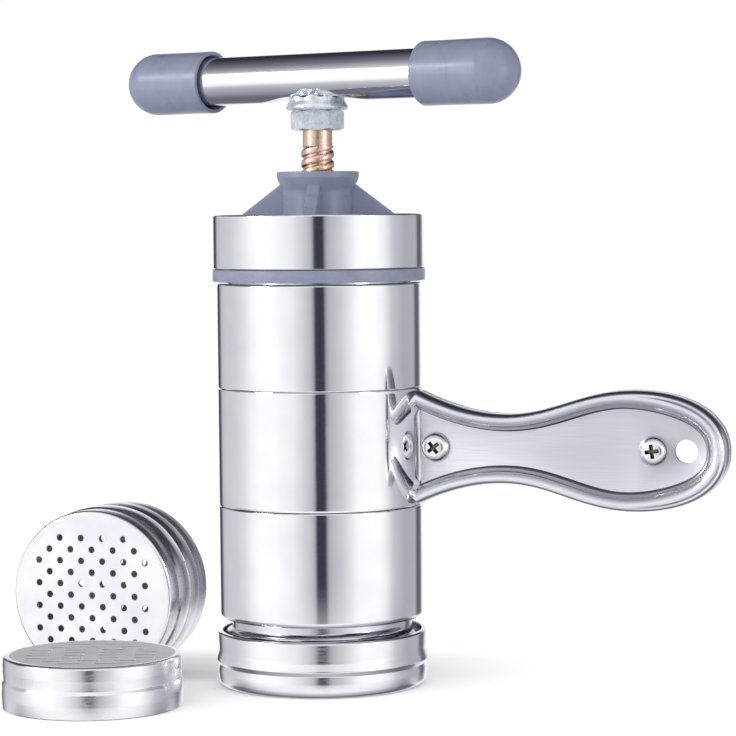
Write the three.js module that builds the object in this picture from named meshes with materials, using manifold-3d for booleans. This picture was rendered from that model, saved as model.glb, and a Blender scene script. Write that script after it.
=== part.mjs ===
// A hand-operated noodle press. A T-handle turns a screw through the lid's nut and drives a piston
// down a double-walled barrel, which pushes dough out through a die held in a screw-on ring.
// A strap round the barrel folds out into the side handle. Three loose dies go with the press: the
// slot die lies flat, and the other two stand behind it on their edges, rim to rim.
// Millimetres, +Z up. The side handle points along +X. The origin is the middle of the whole
// set's box, on the surface that it stands on.

import * as THREE from 'three';
import { mergeVertices } from 'three/addons/utils/BufferGeometryUtils.js';
import Module from 'manifold-3d';

const wasm = await Module();
wasm.setup();

// ---------------------------------------------------------------- driving dimensions

const GAP = 0.3; // clearance left between pieces that touch on the real press
const SHEET = 0.8; // stainless sheet of the pressed pieces
const THIN_SHEET = 0.6; // stainless sheet of the liner
const FACETS = 28; // facets round the barrel's pieces
const SMALL_FACETS = 16; // facets round fasteners, bores and caps

const BARREL_RADIUS = 31;
const LINER_RADIUS = 27.3;
const BORE_RADIUS = LINER_RADIUS - THIN_SHEET;

// Heights on the barrel, from the surface that the press stands on
const RING_TOP = 16.5;
const LOWER_SHELL_BOTTOM = 20.5;
const STRAP_BOTTOM = 54.8;
const STRAP_TOP = 89.8;
const UPPER_SHELL_TOP = 121.5;
const LID_BOTTOM = 122.0;
const COLLAR_BOTTOM = 126.0;
const COLLAR_TOP = 142.0;
const BOSS_TOP = 154.8;

const RING_RADIUS = 31.8;
const RING_OPENING = 24.5; // radius of the hole that the noodles leave through
const COLLAR_RADIUS = 32;

const DIE_RADIUS = BORE_RADIUS - GAP;
const DIE_HEIGHT = 15;

const PISTON_BOTTOM = 29; // 12 mm above its lowest place
const PISTON_HEIGHT = 14;

const SCREW_RADIUS = 5; // thread crest
const SHANK_RADIUS = 4.45;
const THREAD_TOP = 162.4;
const NUT_BOTTOM = 167.2;
const NUT_HEIGHT = 6.2;
const NUT_ACROSS_FLATS = 14;
const NUT_TURN = -76; // degrees, the direction that one of its faces looks in
const WASHER_RADIUS = 9.35;
const WASHER_TOP = 177.5;

const TUBE_RADIUS = 7.5;
const TUBE_HEIGHT = 182.9; // height of its axis
const TUBE_HALF_LENGTH = 62.5;
const TUBE_TURN = -17; // degrees from +X
const TUBE_DENT = 2.8; // how far its underside is pressed in over the washer
const CAP_RADIUS = 9.55;
const CAP_START = 39.4;
const CAP_END = 70.6;

const HANDLE_HEIGHT = (STRAP_BOTTOM + STRAP_TOP) / 2; // height of the side handle's centre line
const HANDLE_TIP = 125.2; // its reach from the barrel's axis
const RIM_WIDTH = 5;
const RIM_CREST = 6.5; // how far its rounded rims stand out from its middle plane
const INNER_SCREW_REACH = 36.6;
const OUTER_SCREW_REACH = 102.8;
const HANGING_HOLE_REACH = 112.5;
const HANGING_HOLE_RADIUS = 3.45;

const SLOT_DIE_PLACE = new THREE.Vector3(-52, -55, 0);
const SLOT_DIE_TURN = 19; // degrees
const STANDING_DIES_PLACE = new THREE.Vector3(-68, -3.3, DIE_RADIUS); // the middle of the front one's rim

// ---------------------------------------------------------------- materials

const material = (color, roughness, metalness) =>
  new THREE.MeshStandardMaterial({ color, roughness, metalness });
const POLISHED_STEEL = material(0xd9dade, 0.12, 1);
const SATIN_STEEL = material(0xc9cacf, 0.35, 1);
const ZINC = material(0xb9c3cc, 0.35, 1);
const COPPER_ZINC = material(0xd9a77c, 0.35, 1);
const GREY_PLASTIC = material(0x9196a8, 0.45, 0);
const WHITE_PLASTIC = material(0xe6e7e8, 0.5, 0);
const RUBBER = material(0x2b2b2d, 0.8, 0);

// ---------------------------------------------------------------- shape helpers

const v2 = (x, y) => new THREE.Vector2(x, y);
const radians = THREE.MathUtils.degToRad;

// Points along an arc, both ends included. Angles are in degrees.
function arc(centreR, centreZ, radius, from, to, steps = 2) {
  return Array.from({ length: steps + 1 }, (_, i) => {
    const angle = radians(from + ((to - from) * i) / steps);
    return v2(centreR + radius * Math.cos(angle), centreZ + radius * Math.sin(angle));
  });
}

// The closed section of a pressed sheet. The path runs along its outer face with the
// metal on its left, and the inner face lies one thickness away.
function sheetProfile(path, thickness) {
  const inner = path.map((point, i) => {
    const before = i > 0 ? point.clone().sub(path[i - 1]).normalize() : null;
    const after = i < path.length - 1 ? path[i + 1].clone().sub(point).normalize() : null;
    const along = (before ?? after).clone().add(after ?? before).normalize();
    const normal = v2(-along.y, along.x);
    const side = after ?? before;
    const miter = thickness / normal.dot(v2(-side.y, side.x));
    return point.clone().addScaledVector(normal, miter);
  });
  return [...inner.reverse(), ...path];
}

// Turns a section (x is the radius, y the height) about the Z axis. A section that doesn't
// start and end on the axis is closed on itself.
function turned(section, facets = FACETS) {
  const onAxis = section[0].x === 0 && section.at(-1).x === 0;
  const outline = onAxis ? section : [...section, section[0].clone()];
  return new THREE.LatheGeometry(outline, facets).rotateX(Math.PI / 2);
}

const pressed = (path, thickness = SHEET, facets = FACETS) =>
  turned(sheetProfile(path, thickness), facets);

// An upright prism or cylinder between two heights.
function prism(radius, bottom, top, sides = SMALL_FACETS) {
  const height = top - bottom;
  return new THREE.CylinderGeometry(radius, radius, height, sides)
    .rotateX(Math.PI / 2)
    .translate(0, 0, bottom + height / 2);
}

// A solid through equal closed loops of points, with flat ends. The first loop's 2-D form
// says how to close the ends.
function loft(loops, flatLoop) {
  const count = flatLoop.length;
  const positions = loops.flat().flatMap((p) => [p.x, p.y, p.z]);
  const index = [];
  for (let ring = 0; ring < loops.length - 1; ring += 1) {
    for (let i = 0; i < count; i += 1) {
      const a = ring * count + i;
      const b = ring * count + ((i + 1) % count);
      index.push(a, b, b + count, a, b + count, a + count);
    }
  }
  const last = (loops.length - 1) * count;
  const clockwise = THREE.ShapeUtils.isClockWise(flatLoop);
  for (const [a, second, third] of THREE.ShapeUtils.triangulateShape(flatLoop, [])) {
    const [b, c] = clockwise ? [third, second] : [second, third];
    index.push(a, c, b, last + a, last + b, last + c);
  }
  const geometry = new THREE.BufferGeometry();
  geometry.setAttribute('position', new THREE.Float32BufferAttribute(positions, 3));
  geometry.setIndex(index);
  return geometry;
}

// A geometry as a closed solid: vertices merged, flat triangles dropped, faces turned out.
function solid(geometry) {
  const plain = geometry.clone();
  plain.deleteAttribute('normal');
  plain.deleteAttribute('uv');
  const merged = mergeVertices(plain, 1e-4);
  const corners = merged.index.array;
  const kept = [];
  for (let i = 0; i < corners.length; i += 3) {
    const [a, b, c] = corners.slice(i, i + 3);
    if (a !== b && b !== c && c !== a) kept.push(a, b, c);
  }
  const build = (triangles) =>
    new wasm.Manifold(
      new wasm.Mesh({
        numProp: 3,
        vertProperties: new Float32Array(merged.attributes.position.array),
        triVerts: new Uint32Array(triangles),
      }),
    );
  const first = build(kept);
  return first.volume() < 0 ? build(kept.reverse()) : first;
}

function geometryOf(manifold) {
  const mesh = manifold.getMesh();
  const geometry = new THREE.BufferGeometry();
  geometry.setAttribute('position', new THREE.BufferAttribute(mesh.vertProperties, 3));
  geometry.setIndex(new THREE.BufferAttribute(mesh.triVerts, 1));
  return geometry;
}

const joined = (...geometries) =>
  geometryOf(geometries.map(solid).reduce((whole, piece) => whole.add(piece)));

const cut = (geometry, ...tools) =>
  geometryOf(tools.map(solid).reduce((whole, tool) => whole.subtract(tool), solid(geometry)));

// ---------------------------------------------------------------- the scene graph

const set = new THREE.Group();
const press = new THREE.Group();
const tHandle = new THREE.Group();
tHandle.position.z = TUBE_HEIGHT;
tHandle.rotation.z = radians(TUBE_TURN);
press.add(tHandle);
set.add(press);

function add(parent, name, geometry, finish) {
  const mesh = new THREE.Mesh(geometryOf(solid(geometry)), finish);
  mesh.name = name;
  parent.add(mesh);
  return mesh;
}

// ---------------------------------------------------------------- die ring

function dieRing() {
  const corner = 2;
  const roll = 0.9;
  const bead = { height: 7.6, out: 0.65, half: 1.3 };
  return pressed([
    v2(RING_OPENING, 0),
    ...arc(RING_RADIUS - corner, corner, corner, -90, 0),
    v2(RING_RADIUS, bead.height - bead.half),
    v2(RING_RADIUS + bead.out, bead.height),
    v2(RING_RADIUS, bead.height + bead.half),
    ...arc(RING_RADIUS - roll, RING_TOP - roll, roll, 0, 90),
    v2(RING_RADIUS - 1.5, RING_TOP),
  ]);
}
add(press, 'die_ring', dieRing(), POLISHED_STEEL);

// ---------------------------------------------------------------- dies

// An inverted cup whose face is up, with a step round its wall.
function dieCup() {
  const step = { height: 7.5, rise: 0.8, depth: 0.4 };
  const corner = 1.8;
  const upper = DIE_RADIUS - step.depth;
  return pressed([
    v2(DIE_RADIUS, 0),
    v2(DIE_RADIUS, step.height),
    v2(upper, step.height + step.rise),
    ...arc(upper - corner, DIE_HEIGHT - corner, corner, 0, 90),
    v2(0, DIE_HEIGHT),
  ]);
}

// The middles of holes in straight rows, each row centred on the die.
function rowsOfHoles(counts, pitch, rowSpacing) {
  const middle = (counts.length - 1) / 2;
  return counts.flatMap((count, row) =>
    Array.from({ length: count }, (_, i) =>
      v2((i - (count - 1) / 2) * pitch, (middle - row) * rowSpacing),
    ),
  );
}

// Cuts the same hole at each of the places through the die's face.
function perforated(places, holeAt) {
  return cut(dieCup(), ...places.map((place) => holeAt().translate(place.x, place.y, 0)));
}

const throughFace = (radius, sides) => prism(radius, DIE_HEIGHT - 2, DIE_HEIGHT + 1, sides);

function roundHoleDie() {
  const holeRadius = 1;
  const places = rowsOfHoles([4, 5, 6, 5, 6, 5, 6, 5, 6, 5, 4], 7, 3.5);
  return perforated(places, () => throughFace(holeRadius, 6));
}

function slotDie() {
  const slot = { length: 6.1, width: 1.5 };
  const places = rowsOfHoles([2, 3, 4, 4, 4, 4, 3, 2], 10.4, 5);
  return perforated(places, () =>
    new THREE.BoxGeometry(slot.length, slot.width, 3).translate(0, 0, DIE_HEIGHT - 0.5),
  );
}

function wideHoleDie() {
  const holeRadius = 1.75;
  const places = rowsOfHoles([3, 4, 5, 4, 3], 8, 7);
  return perforated(places, () => throughFace(holeRadius, 8));
}

const slotDieMesh = add(set, 'slot_die', slotDie(), SATIN_STEEL);
slotDieMesh.position.copy(SLOT_DIE_PLACE);
slotDieMesh.rotation.z = radians(SLOT_DIE_TURN);

// Stands on its edge, its face towards -Y
const frontDie = add(set, 'round_hole_die', roundHoleDie(), SATIN_STEEL);
frontDie.position.copy(STANDING_DIES_PLACE);
frontDie.rotation.x = Math.PI / 2;

// Stands behind it, its face towards +Y
const rearDie = add(set, 'wide_hole_die', wideHoleDie(), SATIN_STEEL);
rearDie.position.copy(STANDING_DIES_PLACE);
rearDie.position.y += GAP;
rearDie.rotation.x = -Math.PI / 2;

// ---------------------------------------------------------------- barrel

// A rolled thread, drawn as one round bead that starts at a height.
function threadBead(start) {
  const out = LINER_RADIUS + 2.1;
  return [
    v2(LINER_RADIUS, start),
    v2(out, start + 1.1),
    v2(out, start + 3),
    v2(LINER_RADIUS, start + 4.1),
  ];
}

function barrelLiner() {
  return pressed(
    [
      v2(LINER_RADIUS, SHEET + GAP),
      ...threadBead(12.2),
      ...threadBead(124.5),
      v2(LINER_RADIUS, 134),
    ],
    THIN_SHEET,
  );
}

const SKIRT_RADIUS = BARREL_RADIUS - SHEET - GAP; // the part of each shell under the strap
const SHELL_INSIDE = LINER_RADIUS + GAP;

function lowerShell() {
  const bottomCorner = 3.3;
  const topCorner = 0.6;
  const shoulder = STRAP_BOTTOM - 0.2;
  return pressed([
    v2(SHELL_INSIDE, LOWER_SHELL_BOTTOM),
    ...arc(BARREL_RADIUS - bottomCorner, LOWER_SHELL_BOTTOM + bottomCorner, bottomCorner, -90, 0, 3),
    ...arc(BARREL_RADIUS - topCorner, shoulder - topCorner, topCorner, 0, 90, 2),
    v2(SKIRT_RADIUS, shoulder),
    v2(SKIRT_RADIUS, HANDLE_HEIGHT - GAP),
  ]);
}

function upperShell() {
  const bottomCorner = 2.1;
  const topCorner = 0.8;
  const cornerHeight = STRAP_TOP + 0.1 + bottomCorner;
  const cornerRadius = BARREL_RADIUS - bottomCorner;
  const skirtAngle = -THREE.MathUtils.radToDeg(Math.acos((SKIRT_RADIUS - cornerRadius) / bottomCorner));
  return pressed([
    v2(SKIRT_RADIUS, HANDLE_HEIGHT + GAP),
    ...arc(cornerRadius, cornerHeight, bottomCorner, skirtAngle, 0),
    ...arc(BARREL_RADIUS - topCorner, UPPER_SHELL_TOP - topCorner, topCorner, 0, 90, 2),
    v2(SHELL_INSIDE, UPPER_SHELL_TOP),
  ]);
}

add(press, 'barrel_liner', barrelLiner(), SATIN_STEEL);
add(press, 'lower_shell', lowerShell(), POLISHED_STEEL);
add(press, 'upper_shell', upperShell(), POLISHED_STEEL);

// ---------------------------------------------------------------- strap and side handle

// The upper half of the handle's outline, as reach and half height, from inside the strap to the tip.
function handleOutline() {
  const root = v2(31, 17.5);
  const waist = v2(58.5, 10.4);
  const widest = v2(97.5, 17.85);
  const tip = v2(HANDLE_TIP, 0);
  const curve = new THREE.CurvePath();
  curve.add(new THREE.LineCurve(v2(28.5, 18.7), root));
  curve.add(new THREE.CubicBezierCurve(root, v2(37.5, 14.4), v2(47, 10.4), waist));
  curve.add(new THREE.CubicBezierCurve(waist, v2(73, 10.4), v2(81.5, widest.y), widest));
  curve.add(new THREE.CubicBezierCurve(widest, v2(112.5, widest.y), v2(HANDLE_TIP, 12), tip));
  return curve;
}

// Stations all the way round the handle, each with its point and its inward direction.
function handleStations(steps = 13) {
  const curve = handleOutline();
  const upper = Array.from({ length: steps + 1 }, (_, i) => {
    const along = curve.getTangentAt(i / steps);
    return { point: curve.getPointAt(i / steps), inward: v2(along.y, -along.x).normalize() };
  });
  upper[steps].inward.set(-1, 0);
  const lower = upper.slice(0, steps).reverse().map(({ point, inward }) => ({
    point: v2(point.x, -point.y),
    inward: v2(inward.x, -inward.y),
  }));
  return [...upper, ...lower];
}

const HALF_PARTING = GAP / 2; // half of the gap between the handle's two halves

// The rounded rim's section: distance in from the outline, and distance from the middle plane.
function rimSection(steps = 5) {
  const halfWidth = RIM_WIDTH / 2;
  const shellArc = (width, height, from, to) =>
    Array.from({ length: steps + 1 }, (_, i) => {
      const angle = radians(from + ((to - from) * i) / steps);
      return v2(halfWidth - width * Math.cos(angle), HALF_PARTING + height * Math.sin(angle));
    });
  const outer = shellArc(halfWidth, RIM_CREST - HALF_PARTING, 0, 180);
  const inner = shellArc(halfWidth - SHEET, RIM_CREST - HALF_PARTING - SHEET, 180, 0);
  return [...outer, ...inner];
}

// One half of the handle. side is -1 for the half on -Y and 1 for the half on +Y.
function handleHalf(side) {
  const stations = handleStations();
  const section = rimSection();
  const rim = loft(
    stations.map(({ point, inward }) =>
      section.map(({ x: depth, y: out }) =>
        new THREE.Vector3(
          point.x + inward.x * depth,
          side * out,
          HANDLE_HEIGHT + point.y + inward.y * depth,
        ),
      ),
    ),
    section,
  );
  const panelEdge = RIM_WIDTH - SHEET / 2;
  const outline = stations.map(({ point, inward }) => point.clone().addScaledVector(inward, panelEdge));
  const panel = new THREE.ExtrudeGeometry(new THREE.Shape(outline), { depth: SHEET, bevelEnabled: false })
    .rotateX(Math.PI / 2)
    .translate(0, side > 0 ? HALF_PARTING + SHEET : -HALF_PARTING, HANDLE_HEIGHT);
  return [rim, panel];
}

const acrossHandle = (radius, reach) =>
  new THREE.CylinderGeometry(radius, radius, 20, SMALL_FACETS).translate(reach, 0, HANDLE_HEIGHT);

function strapHandle() {
  const band = turned([
    v2(BARREL_RADIUS - SHEET, STRAP_BOTTOM),
    v2(BARREL_RADIUS, STRAP_BOTTOM),
    v2(BARREL_RADIUS, STRAP_TOP),
    v2(BARREL_RADIUS - SHEET, STRAP_TOP),
  ]);
  const whole = joined(band, ...handleHalf(-1), ...handleHalf(1));
  const inside = prism(BARREL_RADIUS - SHEET, 0, UPPER_SHELL_TOP, FACETS);
  const slit = new THREE.BoxGeometry(20, GAP, 60).translate(30, 0, HANDLE_HEIGHT);
  const aboveStrap = new THREE.BoxGeometry(40, 40, 10).translate(30, 0, STRAP_TOP + 5);
  const belowStrap = new THREE.BoxGeometry(40, 40, 10).translate(30, 0, STRAP_BOTTOM - 5);
  const screwHole = 2.3;
  return cut(
    whole,
    inside,
    slit,
    aboveStrap,
    belowStrap,
    acrossHandle(screwHole, INNER_SCREW_REACH),
    acrossHandle(screwHole, OUTER_SCREW_REACH),
    acrossHandle(HANGING_HOLE_RADIUS, HANGING_HOLE_REACH),
  );
}
add(press, 'strap_handle', strapHandle(), POLISHED_STEEL);

// ---------------------------------------------------------------- side handle's fasteners

const PANEL_FACE = HALF_PARTING + SHEET; // distance of the panel's outer face from the middle plane

// A domed screw with a cross recess, along +Z with its head on top and the head's seat at z = 0.
function panHeadScrew({ headRadius, headHeight, shaftRadius, shaftLength, recessDepth }) {
  const body = turned(
    [
      v2(0, -shaftLength),
      v2(shaftRadius, -shaftLength),
      v2(shaftRadius, 0),
      v2(headRadius, 0),
      v2(headRadius * 0.94, headHeight * 0.45),
      v2(headRadius * 0.6, headHeight * 0.88),
      v2(0, headHeight),
    ],
    SMALL_FACETS,
  );
  const bar = (length, width) =>
    new THREE.BoxGeometry(length, width, recessDepth * 2).translate(0, 0, headHeight);
  const reach = headRadius * 0.95;
  return cut(body, bar(reach, reach / 4), bar(reach / 4, reach));
}

function hexNut(acrossFlats, height, boreRadius) {
  const cornerRadius = acrossFlats / Math.sqrt(3);
  // One flat of the prism looks along +X
  const hexagon = prism(cornerRadius, 0, height, 6);
  return cut(hexagon, prism(boreRadius, -1, height + 1));
}

for (const [name, reach] of [['inner', INNER_SCREW_REACH], ['outer', OUTER_SCREW_REACH]]) {
  const screw = panHeadScrew({
    headRadius: 4.3,
    headHeight: 2.5,
    shaftRadius: 2,
    shaftLength: 2 * PANEL_FACE + 4.4,
    recessDepth: 1.3,
  });
  const screwMesh = add(press, `handle_screw_${name}`, screw, SATIN_STEEL);
  screwMesh.rotation.x = Math.PI / 2;
  screwMesh.position.set(reach, -PANEL_FACE - GAP, HANDLE_HEIGHT);
  const nutMesh = add(press, `handle_nut_${name}`, hexNut(7, 3.2, 2.3), SATIN_STEEL);
  nutMesh.rotation.x = -Math.PI / 2;
  nutMesh.position.set(reach, PANEL_FACE + GAP, HANDLE_HEIGHT);
}

// ---------------------------------------------------------------- lid

const LID_WALL_OUTSIDE = COLLAR_RADIUS - SHEET - GAP;
const LID_WALL_INSIDE = 30.1;
const LID_TOP = COLLAR_TOP - SHEET - GAP;
const LID_CEILING = 138.4;
const INSERT_RADIUS = 7.2;
const INSERT_TOP = 152.3;

function lidBody() {
  const flangeRadius = 32.1;
  const bossRadius = 10.7;
  const lip = { radius: 12.4, bottom: 152.1 };
  const rib = { thickness: 4, foot: 23, top: 151.6, firstAngle: 12.5 };
  const topBore = 6;
  const core = turned([
    v2(LID_WALL_INSIDE, LID_BOTTOM),
    v2(flangeRadius, LID_BOTTOM),
    v2(flangeRadius, COLLAR_BOTTOM - GAP),
    v2(LID_WALL_OUTSIDE, COLLAR_BOTTOM - GAP),
    v2(LID_WALL_OUTSIDE, LID_TOP),
    v2(bossRadius, LID_TOP),
    v2(bossRadius, lip.bottom - 0.6),
    v2(lip.radius, lip.bottom),
    v2(lip.radius, BOSS_TOP),
    v2(topBore, BOSS_TOP),
    v2(topBore, INSERT_TOP + GAP),
    v2(INSERT_RADIUS + GAP, INSERT_TOP + GAP),
    v2(INSERT_RADIUS + GAP, LID_CEILING),
    v2(LID_WALL_INSIDE, LID_CEILING),
  ]);
  const ribSide = new THREE.Shape([
    v2(9, LID_TOP - 1),
    v2(rib.foot, LID_TOP - 1),
    v2(rib.foot, LID_TOP + 0.5),
    v2(bossRadius, rib.top),
    v2(9, rib.top),
  ]);
  const ribs = [0, 90, 180, 270].map((quarter) =>
    new THREE.ExtrudeGeometry(ribSide, { depth: rib.thickness, bevelEnabled: false })
      .translate(0, 0, -rib.thickness / 2)
      .rotateX(Math.PI / 2)
      .rotateZ(radians(rib.firstAngle + quarter)),
  );
  return joined(core, ...ribs);
}

function lidCollar() {
  const roll = 0.6;
  return pressed([
    v2(COLLAR_RADIUS, COLLAR_BOTTOM),
    ...arc(COLLAR_RADIUS - roll, COLLAR_TOP - roll, roll, 0, 90, 2),
    v2(COLLAR_RADIUS - 2, COLLAR_TOP),
  ]);
}

function leadNut() {
  const bore = SCREW_RADIUS + 0.4;
  const outside = prism(INSERT_RADIUS, LID_CEILING, INSERT_TOP, SMALL_FACETS);
  return cut(outside, prism(bore, LID_CEILING - 1, INSERT_TOP + 1, 24));
}

add(press, 'lid_body', lidBody(), GREY_PLASTIC);
add(press, 'lid_collar', lidCollar(), POLISHED_STEEL);
add(press, 'lead_nut', leadNut(), ZINC);

// ---------------------------------------------------------------- piston

const PISTON_TOP = PISTON_BOTTOM + PISTON_HEIGHT;
const PISTON_RADIUS = BORE_RADIUS - 0.5;
const JOURNAL_RADIUS = 3;
const SEAL_GROOVE = { bottom: PISTON_BOTTOM + 5, top: PISTON_BOTTOM + 9, radius: PISTON_RADIUS - 1.9 };
const RECESS = { radius: 9, depth: 6 }; // under the piston, for the washer and the screw

function piston() {
  const web = PISTON_BOTTOM + RECESS.depth;
  return turned([
    v2(JOURNAL_RADIUS + GAP, web),
    v2(RECESS.radius, web),
    v2(RECESS.radius, PISTON_BOTTOM),
    v2(PISTON_RADIUS, PISTON_BOTTOM),
    v2(PISTON_RADIUS, SEAL_GROOVE.bottom),
    v2(SEAL_GROOVE.radius, SEAL_GROOVE.bottom),
    v2(SEAL_GROOVE.radius, SEAL_GROOVE.top),
    v2(PISTON_RADIUS, SEAL_GROOVE.top),
    v2(PISTON_RADIUS, PISTON_TOP),
    v2(JOURNAL_RADIUS + GAP, PISTON_TOP),
  ]);
}

function pistonSeal() {
  const inside = SEAL_GROOVE.radius + GAP;
  const outside = BORE_RADIUS - GAP;
  return turned([
    v2(inside, SEAL_GROOVE.bottom + GAP),
    v2(outside, SEAL_GROOVE.bottom + GAP),
    v2(outside, SEAL_GROOVE.top - GAP),
    v2(inside, SEAL_GROOVE.top - GAP),
  ]);
}

const WASHER_SEAT = PISTON_BOTTOM + RECESS.depth - GAP;
const PISTON_WASHER = { radius: 7.5, thickness: 1.2, bore: 2.4 };

function pistonWasher() {
  const disc = prism(PISTON_WASHER.radius, WASHER_SEAT - PISTON_WASHER.thickness, WASHER_SEAT);
  return cut(disc, prism(PISTON_WASHER.bore, WASHER_SEAT - 3, WASHER_SEAT + 1));
}

const PISTON_SCREW = {
  headRadius: 4.3,
  headHeight: 2.6,
  shaftRadius: 2,
  shaftLength: 8,
  recessDepth: 1.3,
};

add(press, 'piston', piston(), WHITE_PLASTIC);
add(press, 'piston_seal', pistonSeal(), RUBBER);
add(press, 'piston_washer', pistonWasher(), ZINC);
const pistonScrew = add(press, 'piston_screw', panHeadScrew(PISTON_SCREW), ZINC);
pistonScrew.rotation.x = Math.PI;
pistonScrew.position.z = WASHER_SEAT - PISTON_WASHER.thickness - GAP;

// ---------------------------------------------------------------- lead screw and its nuts

const SCREW_END = TUBE_HEIGHT + 3.5; // inside the cross nut

// The thread is drawn at its crest. The journal turns in the piston, and the screw from
// below threads into its end.
function leadScrew() {
  const shoulder = PISTON_TOP + GAP;
  const taper = 0.6;
  const body = turned(
    [
      v2(0, WASHER_SEAT + GAP),
      v2(JOURNAL_RADIUS, WASHER_SEAT + GAP),
      v2(JOURNAL_RADIUS, shoulder),
      v2(SCREW_RADIUS, shoulder),
      v2(SCREW_RADIUS, THREAD_TOP - taper),
      v2(SHANK_RADIUS, THREAD_TOP),
      v2(SHANK_RADIUS, SCREW_END),
      v2(0, SCREW_END),
    ],
    SMALL_FACETS,
  );
  const threadedHole = prism(PISTON_SCREW.shaftRadius + 0.25, WASHER_SEAT - 1, WASHER_SEAT + 9);
  return cut(body, threadedHole);
}

function flaredWasher() {
  const bottom = NUT_BOTTOM + NUT_HEIGHT + GAP;
  return turned(
    [
      v2(SHANK_RADIUS + GAP, bottom),
      v2(WASHER_RADIUS, bottom),
      v2(WASHER_RADIUS - 0.15, bottom + 0.9),
      v2(7.7, WASHER_TOP),
      v2(SHANK_RADIUS + GAP, WASHER_TOP),
    ],
    24,
  );
}

const lockNut = hexNut(NUT_ACROSS_FLATS, NUT_HEIGHT, SHANK_RADIUS + GAP)
  .rotateZ(radians(NUT_TURN))
  .translate(0, 0, NUT_BOTTOM);

add(press, 'lead_screw', leadScrew(), COPPER_ZINC);
add(press, 'lock_nut', lockNut, ZINC);
add(press, 'flared_washer', flaredWasher(), ZINC);

// ---------------------------------------------------------------- T-handle

// How far the tube's underside is pressed in, at a distance along the tube from its middle.
function dentAt(along) {
  const flat = 8.8;
  const ramp = 7;
  return TUBE_DENT * (1 - THREE.MathUtils.smoothstep(Math.abs(along), flat, flat + ramp));
}

// A closed loop across the tube, its underside flattened by the dent.
function tubeLoop(radius, along, facets = 20) {
  return Array.from({ length: facets }, (_, i) => {
    const angle = (2 * Math.PI * (i + 0.5)) / facets;
    const height = Math.max(radius * Math.sin(angle), dentAt(along) - radius);
    return new THREE.Vector3(along, radius * Math.cos(angle), height);
  });
}

function tubeSolid(radius, halfLength) {
  const stations = [-16.5, -14, -12, -10, -8, 8, 10, 12, 14, 16.5];
  const places = [-halfLength, ...stations, halfLength];
  const loops = places.map((along) => tubeLoop(radius, along));
  return loft(loops, loops[0].map((point) => v2(point.y, point.z)));
}

function handleTube() {
  return cut(
    tubeSolid(TUBE_RADIUS, TUBE_HALF_LENGTH),
    tubeSolid(TUBE_RADIUS - SHEET, TUBE_HALF_LENGTH + 1),
    prism(SHANK_RADIUS + GAP, -TUBE_RADIUS, 0),
  );
}

// A round slug along the tube, flat underneath, with a blind hole for the screw's end.
function crossNut() {
  const radius = TUBE_RADIUS - SHEET - GAP;
  const halfLength = 8;
  const underside = TUBE_DENT - radius;
  const slug = new THREE.CylinderGeometry(radius, radius, 2 * halfLength, SMALL_FACETS).rotateZ(Math.PI / 2);
  const below = new THREE.BoxGeometry(20, 20, 10).translate(0, 0, underside - 5);
  const hole = prism(SHANK_RADIUS + GAP, -TUBE_RADIUS, SCREW_END - TUBE_HEIGHT + GAP);
  return cut(slug, below, hole);
}

// A cap along +X, domed at its outer end and open at its inner end.
function handleCap() {
  const bore = TUBE_RADIUS + GAP;
  const domeCentre = CAP_END - CAP_RADIUS;
  const dome = arc(0, domeCentre, CAP_RADIUS, 0, 90, 6);
  dome.at(-1).x = 0;
  const section = [
    v2(0, TUBE_HALF_LENGTH + GAP),
    v2(bore, TUBE_HALF_LENGTH + GAP),
    v2(bore, CAP_START),
    v2(CAP_RADIUS, CAP_START),
    ...dome,
  ];
  return turned(section, 20).rotateY(Math.PI / 2);
}

add(tHandle, 'handle_tube', handleTube(), POLISHED_STEEL);
add(tHandle, 'cross_nut', crossNut(), ZINC);
add(tHandle, 'handle_cap_near', handleCap(), GREY_PLASTIC);
add(tHandle, 'handle_cap_far', handleCap(), GREY_PLASTIC).rotation.z = Math.PI;

// ---------------------------------------------------------------- place the set on its origin

set.updateMatrixWorld(true);
const middle = new THREE.Box3().setFromObject(set, true).getCenter(new THREE.Vector3());
set.position.set(-middle.x, -middle.y, 0);

export default set;
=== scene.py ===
# The looks of a hand noodle press: a screw press with a T-handle, a side handle and three loose dies.
# Profiles are in millimetres from the barrel's axis and the surface it stands on; Blender works in metres.

from math import asin, atan2, ceil, cos, degrees, exp, pi, radians, sin, tan, tau

import bmesh
import bpy
from mathutils import Matrix, Vector
from mathutils.geometry import delaunay_2d_cdt


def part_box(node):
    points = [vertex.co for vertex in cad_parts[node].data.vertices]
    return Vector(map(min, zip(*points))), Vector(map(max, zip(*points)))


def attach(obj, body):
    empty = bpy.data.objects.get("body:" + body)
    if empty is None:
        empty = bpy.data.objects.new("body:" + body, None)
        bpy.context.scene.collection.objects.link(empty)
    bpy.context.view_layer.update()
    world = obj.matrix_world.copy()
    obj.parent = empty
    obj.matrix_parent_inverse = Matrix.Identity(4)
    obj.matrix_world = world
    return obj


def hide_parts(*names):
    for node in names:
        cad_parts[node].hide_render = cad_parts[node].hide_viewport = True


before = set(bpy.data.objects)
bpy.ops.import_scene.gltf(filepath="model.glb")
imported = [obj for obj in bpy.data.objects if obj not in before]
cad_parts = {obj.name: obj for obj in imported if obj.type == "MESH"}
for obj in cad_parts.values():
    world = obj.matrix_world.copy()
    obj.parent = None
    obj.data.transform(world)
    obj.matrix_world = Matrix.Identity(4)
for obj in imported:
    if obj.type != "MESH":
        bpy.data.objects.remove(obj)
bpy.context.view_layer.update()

MM = 0.001
SHARP = 32  # edges that turn by more degrees than this look sharp


def middle(node):
    low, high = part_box(node)
    return (low + high) / 2


AXIS = Vector((middle("die_ring").x, middle("die_ring").y, 0))
PRESS = Matrix.Translation(AXIS)

# --- sizes shared by several pieces

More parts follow.
